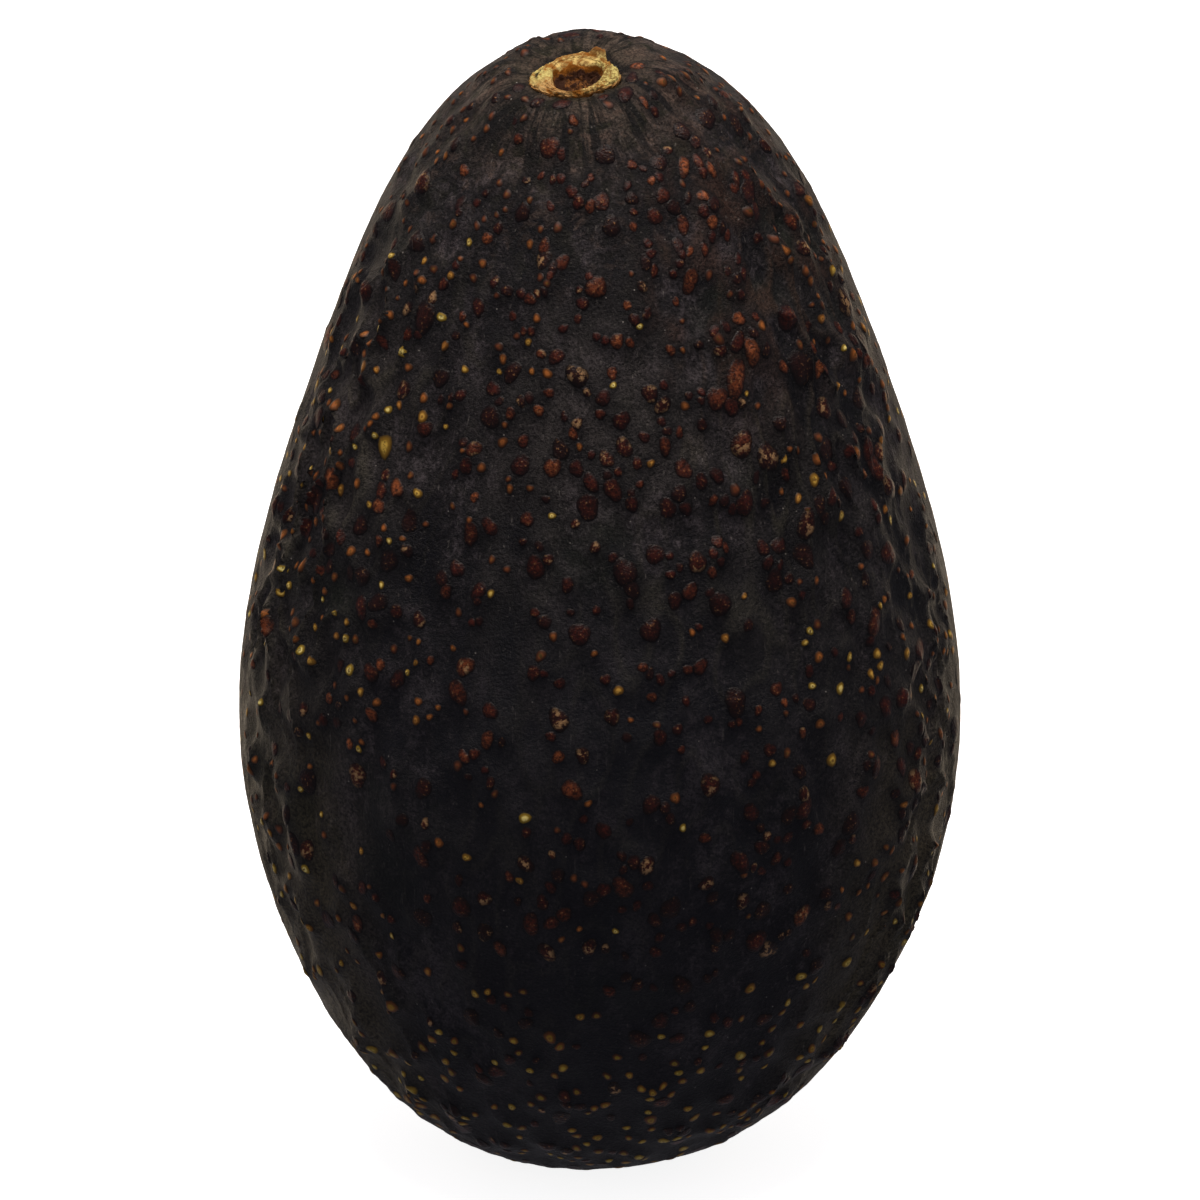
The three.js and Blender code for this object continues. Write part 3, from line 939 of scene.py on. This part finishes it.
class AVOCADO_OT_skin(bpy.types.Operator):
    """Makes the pebbled skin of the fruit"""

    bl_idname = "avocado.skin"
    bl_label = "Skin"

    def execute(self, context):
        fruit, _ = spotted_fruit()
        ways, quads = cube_ball(context.scene.avocado_sizes.cells)
        polar = fruit.polar_at_length(np.arccos(np.clip(ways[:, 2], -1, 1)) / math.pi)
        azimuth = np.arctan2(ways[:, 1], ways[:, 0])
        places, shares = fruit.skin(polar, azimuth)
        smooth_places = fruit.smooth_skin(polar, azimuth)
        _, aside, turn = fruit.around_scar(smooth_places)
        # Painted shade round each spot, and in the gap by the scar.
        rims = 1.5 * fruit.spot_radii + 0.9
        spot_and_gap_shade = fruit.mounds(smooth_places, fruit.spot_places, rims, np.ones_like(rims), KNOB_LENGTH)
        angle = view_angle(azimuth)
        aslant = np.abs(angle)
        level = places[:, 2]
        shoulder = smooth(5, 25, angle) * (1 - smooth(70, 100, angle)) * smooth(74, 92, level)
        raised = np.maximum(smooth(0.3, 0.8, shares["crest"]), smooth(0.1, 0.6, shares["wrinkle"]))
        # The share of painted light, or below 0 of painted shade, at each place.
        pale = sum(
            share * np.exp(-(((level - middle) / tall) ** 2) - ((angle - centre) / wide) ** 2)
            for share, middle, tall, centre, wide in PAINTED_LIGHT_AREAS
        )
        attributes = {
            "crest": shares["crest"],
            "wrinkle": shares["wrinkle"],
            # Where the flanks' fine ridge crests get painted highlight.
            "flank_highlight": shares["wrinkle"] * smooth(36, 60, aslant) * smooth(110, 80, aslant),
            "spot_and_gap_shade": np.clip(spot_and_gap_shade + 1.4 * shares["gap"], 0, 1.3),
            "from_scar": aside,
            "russet": shoulder * raised,
            # Painted shade low down in front and at the blossom end.
            "low": smooth(75, 49, level) * np.exp(-((angle / 48) ** 2)),
            "end": smooth(16, 4, level),
            # Where the low flanks get painted light.
            "flank": smooth(60, 32, level) * smooth(34, 58, aslant),
            "pale": pale,
            "scar_ways": np.stack([np.cos(turn), np.sin(turn), 0.02 * aside], -1),
        }
        material = skin_material(context.scene.avocado_colours)
        piece = new_mesh("fruit_skin", places, quads.tolist(), attributes, material)
        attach(piece, "root")
        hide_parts("fruit")
        return {"FINISHED"}


def wart_profile(share):
    """A low cushion that runs out softly, whose skirt goes into the skin."""
    return np.where(share < 1, 0.12 + 0.88 * np.clip(1 - share**2.2, 0, 1), SKIRT)


def lenticel_profile(share):
    """A small dome, whose skirt goes into the skin."""
    return np.where(share < 1, 1 - share**2, SKIRT)


class AVOCADO_OT_warts(bpy.types.Operator):
    """Makes the corky warts on the skin, large ones and small ones"""

    bl_idname = "avocado.warts"
    bl_label = "Warts"

    def execute(self, context):
        fruit, spots = spotted_fruit()
        wart = spots["wart"] > 0
        large = spots["radius"] > LARGE_WART
        material = wart_material(context.scene.avocado_colours)
        for name, chosen, rings, sides in (
            ("corky_warts", wart & large, (0.12, 0.34, 0.56, 0.76, 0.92, 1.08), 18),
            ("small_warts", wart & ~large, (0.2, 0.5, 0.8, 1.08), 12),
        ):
            places, faces, attributes = spot_field(fruit, spots[chosen], rings, sides, wart_profile)
            piece = new_mesh(name, places, faces, attributes, material)
            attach(piece, "root")
        return {"FINISHED"}


class AVOCADO_OT_lenticels(bpy.types.Operator):
    """Makes the yellow lenticels on the skin"""

    bl_idname = "avocado.lenticels"
    bl_label = "Lenticels"

    def execute(self, context):
        fruit, spots = spotted_fruit()
        pores = spots[spots["wart"] == 0]
        rings, sides = (0.15, 0.4, 0.7, 0.95, 1.12), 12
        places, faces, attributes = spot_field(fruit, pores, rings, sides, lenticel_profile)
        material = lenticel_material(context.scene.avocado_colours)
        piece = new_mesh("lenticels", places, faces, attributes, material)
        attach(piece, "root")
        return {"FINISHED"}


class AVOCADO_OT_stem(bpy.types.Operator):
    """Makes the cork ring and hollow that the stalk left"""

    bl_idname = "avocado.stem"
    bl_label = "Stem button"

    def execute(self, context):
        fruit, _ = spotted_fruit()
        sides, rows = 240, 130
        section = np.array(RING_SECTION)
        walk = np.linspace(0, len(section) - 1, rows)
        reach = np.interp(walk, np.arange(len(section)), section[:, 0])[:, None]
        level = np.interp(walk, np.arange(len(section)), section[:, 1])[:, None]
        turn = (np.arange(sides) / sides * TAU)[None, :]
        outer = round_radius(RING_OUTER, turn)
        inner = round_radius(RING_INNER, turn)
        far = smooth(0.2, 0.8, np.sin(turn))
        slope = 0.3 * far * smooth(0.05, -0.1, reach) * smooth(-0.8, -0.3, reach)
        flake = np.exp(-(((turn - FLAKE_TURN) / FLAKE_HALF) ** 4)) * smooth(0.3, 0.7, reach) * (level > 0)
        crust = np.exp(-(((turn - CRUST_TURN) / CRUST_HALF) ** 2)) * np.exp(-(((reach - 0.7) / 0.13) ** 2))
        radius = np.where(reach > 0, inner + (outer - inner) * reach, inner * (1 + reach - slope))
        radius = radius + FLAKE_LEAN * flake
        x = radius * np.cos(turn)
        y = radius * np.sin(turn)
        z = np.where(level > 0, level * (0.8 - 0.2 * np.sin(turn)), level)
        z = z + FLAKE_RISE * flake - CRUST_DEPTH * crust * (level > 0)
        places = np.stack([x, y, z], -1).reshape(-1, 3)
        lumps, crumbs = (
            np.array([noise.fractal(Vector(spot) * fine, 0.8, 2.1, 3) for spot in places]).reshape(x.shape)
            for fine in (1.1, 3.6)
        )
        pits = smooth(0.2, 0.8, np.cos(turn - math.radians(320)))
        pink = smooth(0.7, 0.97, np.cos(turn - math.radians(240)))
        green = smooth(0.5, 0.95, np.cos(turn - math.radians(345)))
        green = green + smooth(0.7, 1, np.cos(turn - math.radians(192)))
        steps = np.sin(TAU * 4 * reach) * pink * smooth(0.02, 0.1, reach)
        down = smooth(0.0, -0.2, reach)
        swell = 1 + 0.03 * lumps + 0.02 * crumbs
        x = x * swell
        y = y * swell
        z = z + (0.12 + 0.25 * down) * lumps + (0.06 + 0.1 * pits + 0.1 * down) * crumbs + 0.06 * steps
        across, deep = fruit.scar_axes()
        places = fruit.scar_centre + x[..., None] * across + y[..., None] * deep
        places = places + z[..., None] * fruit.scar_normal
        faces = row_quads(rows, sides)[..., ::-1].reshape(-1, 4).tolist()
        faces.append(list(range((rows - 1) * sides, rows * sides)))
        faces.append(list(range(sides))[::-1])
        shares = {
            "hollow": np.where(reach < 0.04, np.maximum(-level / HOLLOW_DEPTH, 0), 0),
            "wall": smooth(0.93, 0.97, reach) * smooth(0.32, 0.1, level),
            "flake": flake,
            "crust": crust,
            "pits": pits,
            "pink": pink,
            "green": green,
            "far": far,
        }
        attributes = {name: np.broadcast_to(share, x.shape).ravel() for name, share in shares.items()}
        material = cork_material(context.scene.avocado_colours)
        piece = new_mesh("stalk_cork", places.reshape(-1, 3), faces, attributes, material)
        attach(piece, "root")
        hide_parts("stem_button")
        return {"FINISHED"}


def area_light(name, place, target, size, power, colour):
    """A rectangular soft light at a place, turned to its target."""
    data = bpy.data.lights.new(name, "AREA")
    data.shape = "RECTANGLE"
    data.size, data.size_y = size
    data.energy = power
    data.color = colour[:3]
    lamp = bpy.data.objects.new(name, data)
    lamp.location = place
    lamp.rotation_euler = (Vector(target) - Vector(place)).to_track_quat("-Z", "Y").to_euler()
    bpy.context.scene.collection.objects.link(lamp)


class AVOCADO_OT_stage(bpy.types.Operator):
    """Makes the floor, the lights, the backdrop's light and the camera"""

    bl_idname = "avocado.stage"
    bl_label = "Stage"

    def execute(self, context):
        scene = context.scene
        scene.view_settings.view_transform = "Standard"
        half = 4.0
        mesh = bpy.data.meshes.new("floor")
        corners = [(-half, -half, 0), (half, -half, 0), (half, half, 0), (-half, half, 0)]
        mesh.from_pydata(corners, [], [(0, 1, 2, 3)])
        floor = bpy.data.objects.new("floor", mesh)
        scene.collection.objects.link(floor)
        material, tree, shader = new_material("backlit opal acrylic")
        feed(tree, shader, {"Base Color": linear("F2F2F2"), "Roughness": 0.9})
        feed(tree, shader, {"Emission Color": linear("FFFFFF"), "Emission Strength": 0.88})
        mesh.materials.append(material)
        floor.visible_glossy = False
        floor.visible_diffuse = False
        floor.visible_shadow = False

        middle = (0, 0, 0.055)
        area_light("top softbox", (0, -0.06, 0.8), middle, (0.6, 0.34), 6.3, linear("FFF4EA"))
        for side in (-1, 1):
            place = (0.32 * side, 0.57, -0.02)
            area_light("side strip", place, middle, (0.24, 0.6), 0.66, linear("FFE6C0"))

        world = bpy.data.worlds.new("studio")
        scene.world = world
        world.use_nodes = True
        tree = world.node_tree
        tree.nodes.clear()
        path = add_node(tree, "ShaderNodeLightPath").outputs["Is Camera Ray"]
        dim = add_node(tree, "ShaderNodeBackground", {"Color": linear("ECE8F2"), "Strength": 0.28})
        pale = add_node(tree, "ShaderNodeBackground", {"Color": linear("FFFFFF"), "Strength": 0.95})
        mixed = add_node(tree, "ShaderNodeMixShader", {0: path, 1: dim.outputs[0], 2: pale.outputs[0]})
        add_node(tree, "ShaderNodeOutputWorld", {"Surface": mixed.outputs[0]})

        camera_data = bpy.data.cameras.new("camera")
        camera = bpy.data.objects.new("camera", camera_data)
        scene.collection.objects.link(camera)
        back = Vector(TO_EYE)
        camera.location = Vector(VIEW_AIM) + back * VIEW_DISTANCE
        camera.rotation_euler = (-back).to_track_quat("-Z", "Y").to_euler()
        camera_data.sensor_width = 36
        camera_data.lens = camera_data.sensor_width * VIEW_DISTANCE / VIEW_WIDTH
        camera_data.clip_end = 20
        scene.camera = camera
        return {"FINISHED"}


class AVOCADO_PT_panel(bpy.types.Panel):
    """Sizes, colours and the steps that make the avocado"""

    bl_idname = "AVOCADO_PT_panel"
    bl_label = "Avocado"
    bl_space_type = "VIEW_3D"
    bl_region_type = "UI"
    bl_category = "Avocado"

    def draw(self, context):
        for group in (context.scene.avocado_sizes, context.scene.avocado_colours):
            for name in type(group).__annotations__:
                self.layout.prop(group, name)
        for operator in OPERATORS:
            self.layout.operator(operator.bl_idname)


OPERATORS = (AVOCADO_OT_skin, AVOCADO_OT_warts, AVOCADO_OT_lenticels, AVOCADO_OT_stem, AVOCADO_OT_stage)
CLASSES = (FruitSizes, FruitColours, *OPERATORS, AVOCADO_PT_panel)


def register():
    for each in CLASSES:
        bpy.utils.register_class(each)
    bpy.types.Scene.avocado_sizes = PointerProperty(type=FruitSizes)
    bpy.types.Scene.avocado_colours = PointerProperty(type=FruitColours)


def unregister():
    del bpy.types.Scene.avocado_colours
    del bpy.types.Scene.avocado_sizes
    for each in reversed(CLASSES):
        bpy.utils.unregister_class(each)


def main():
    register()
    bpy.ops.avocado.skin()
    bpy.ops.avocado.warts()
    bpy.ops.avocado.lenticels()
    bpy.ops.avocado.stem()
    bpy.ops.avocado.stage()


if __name__ == "__main__":
    main()
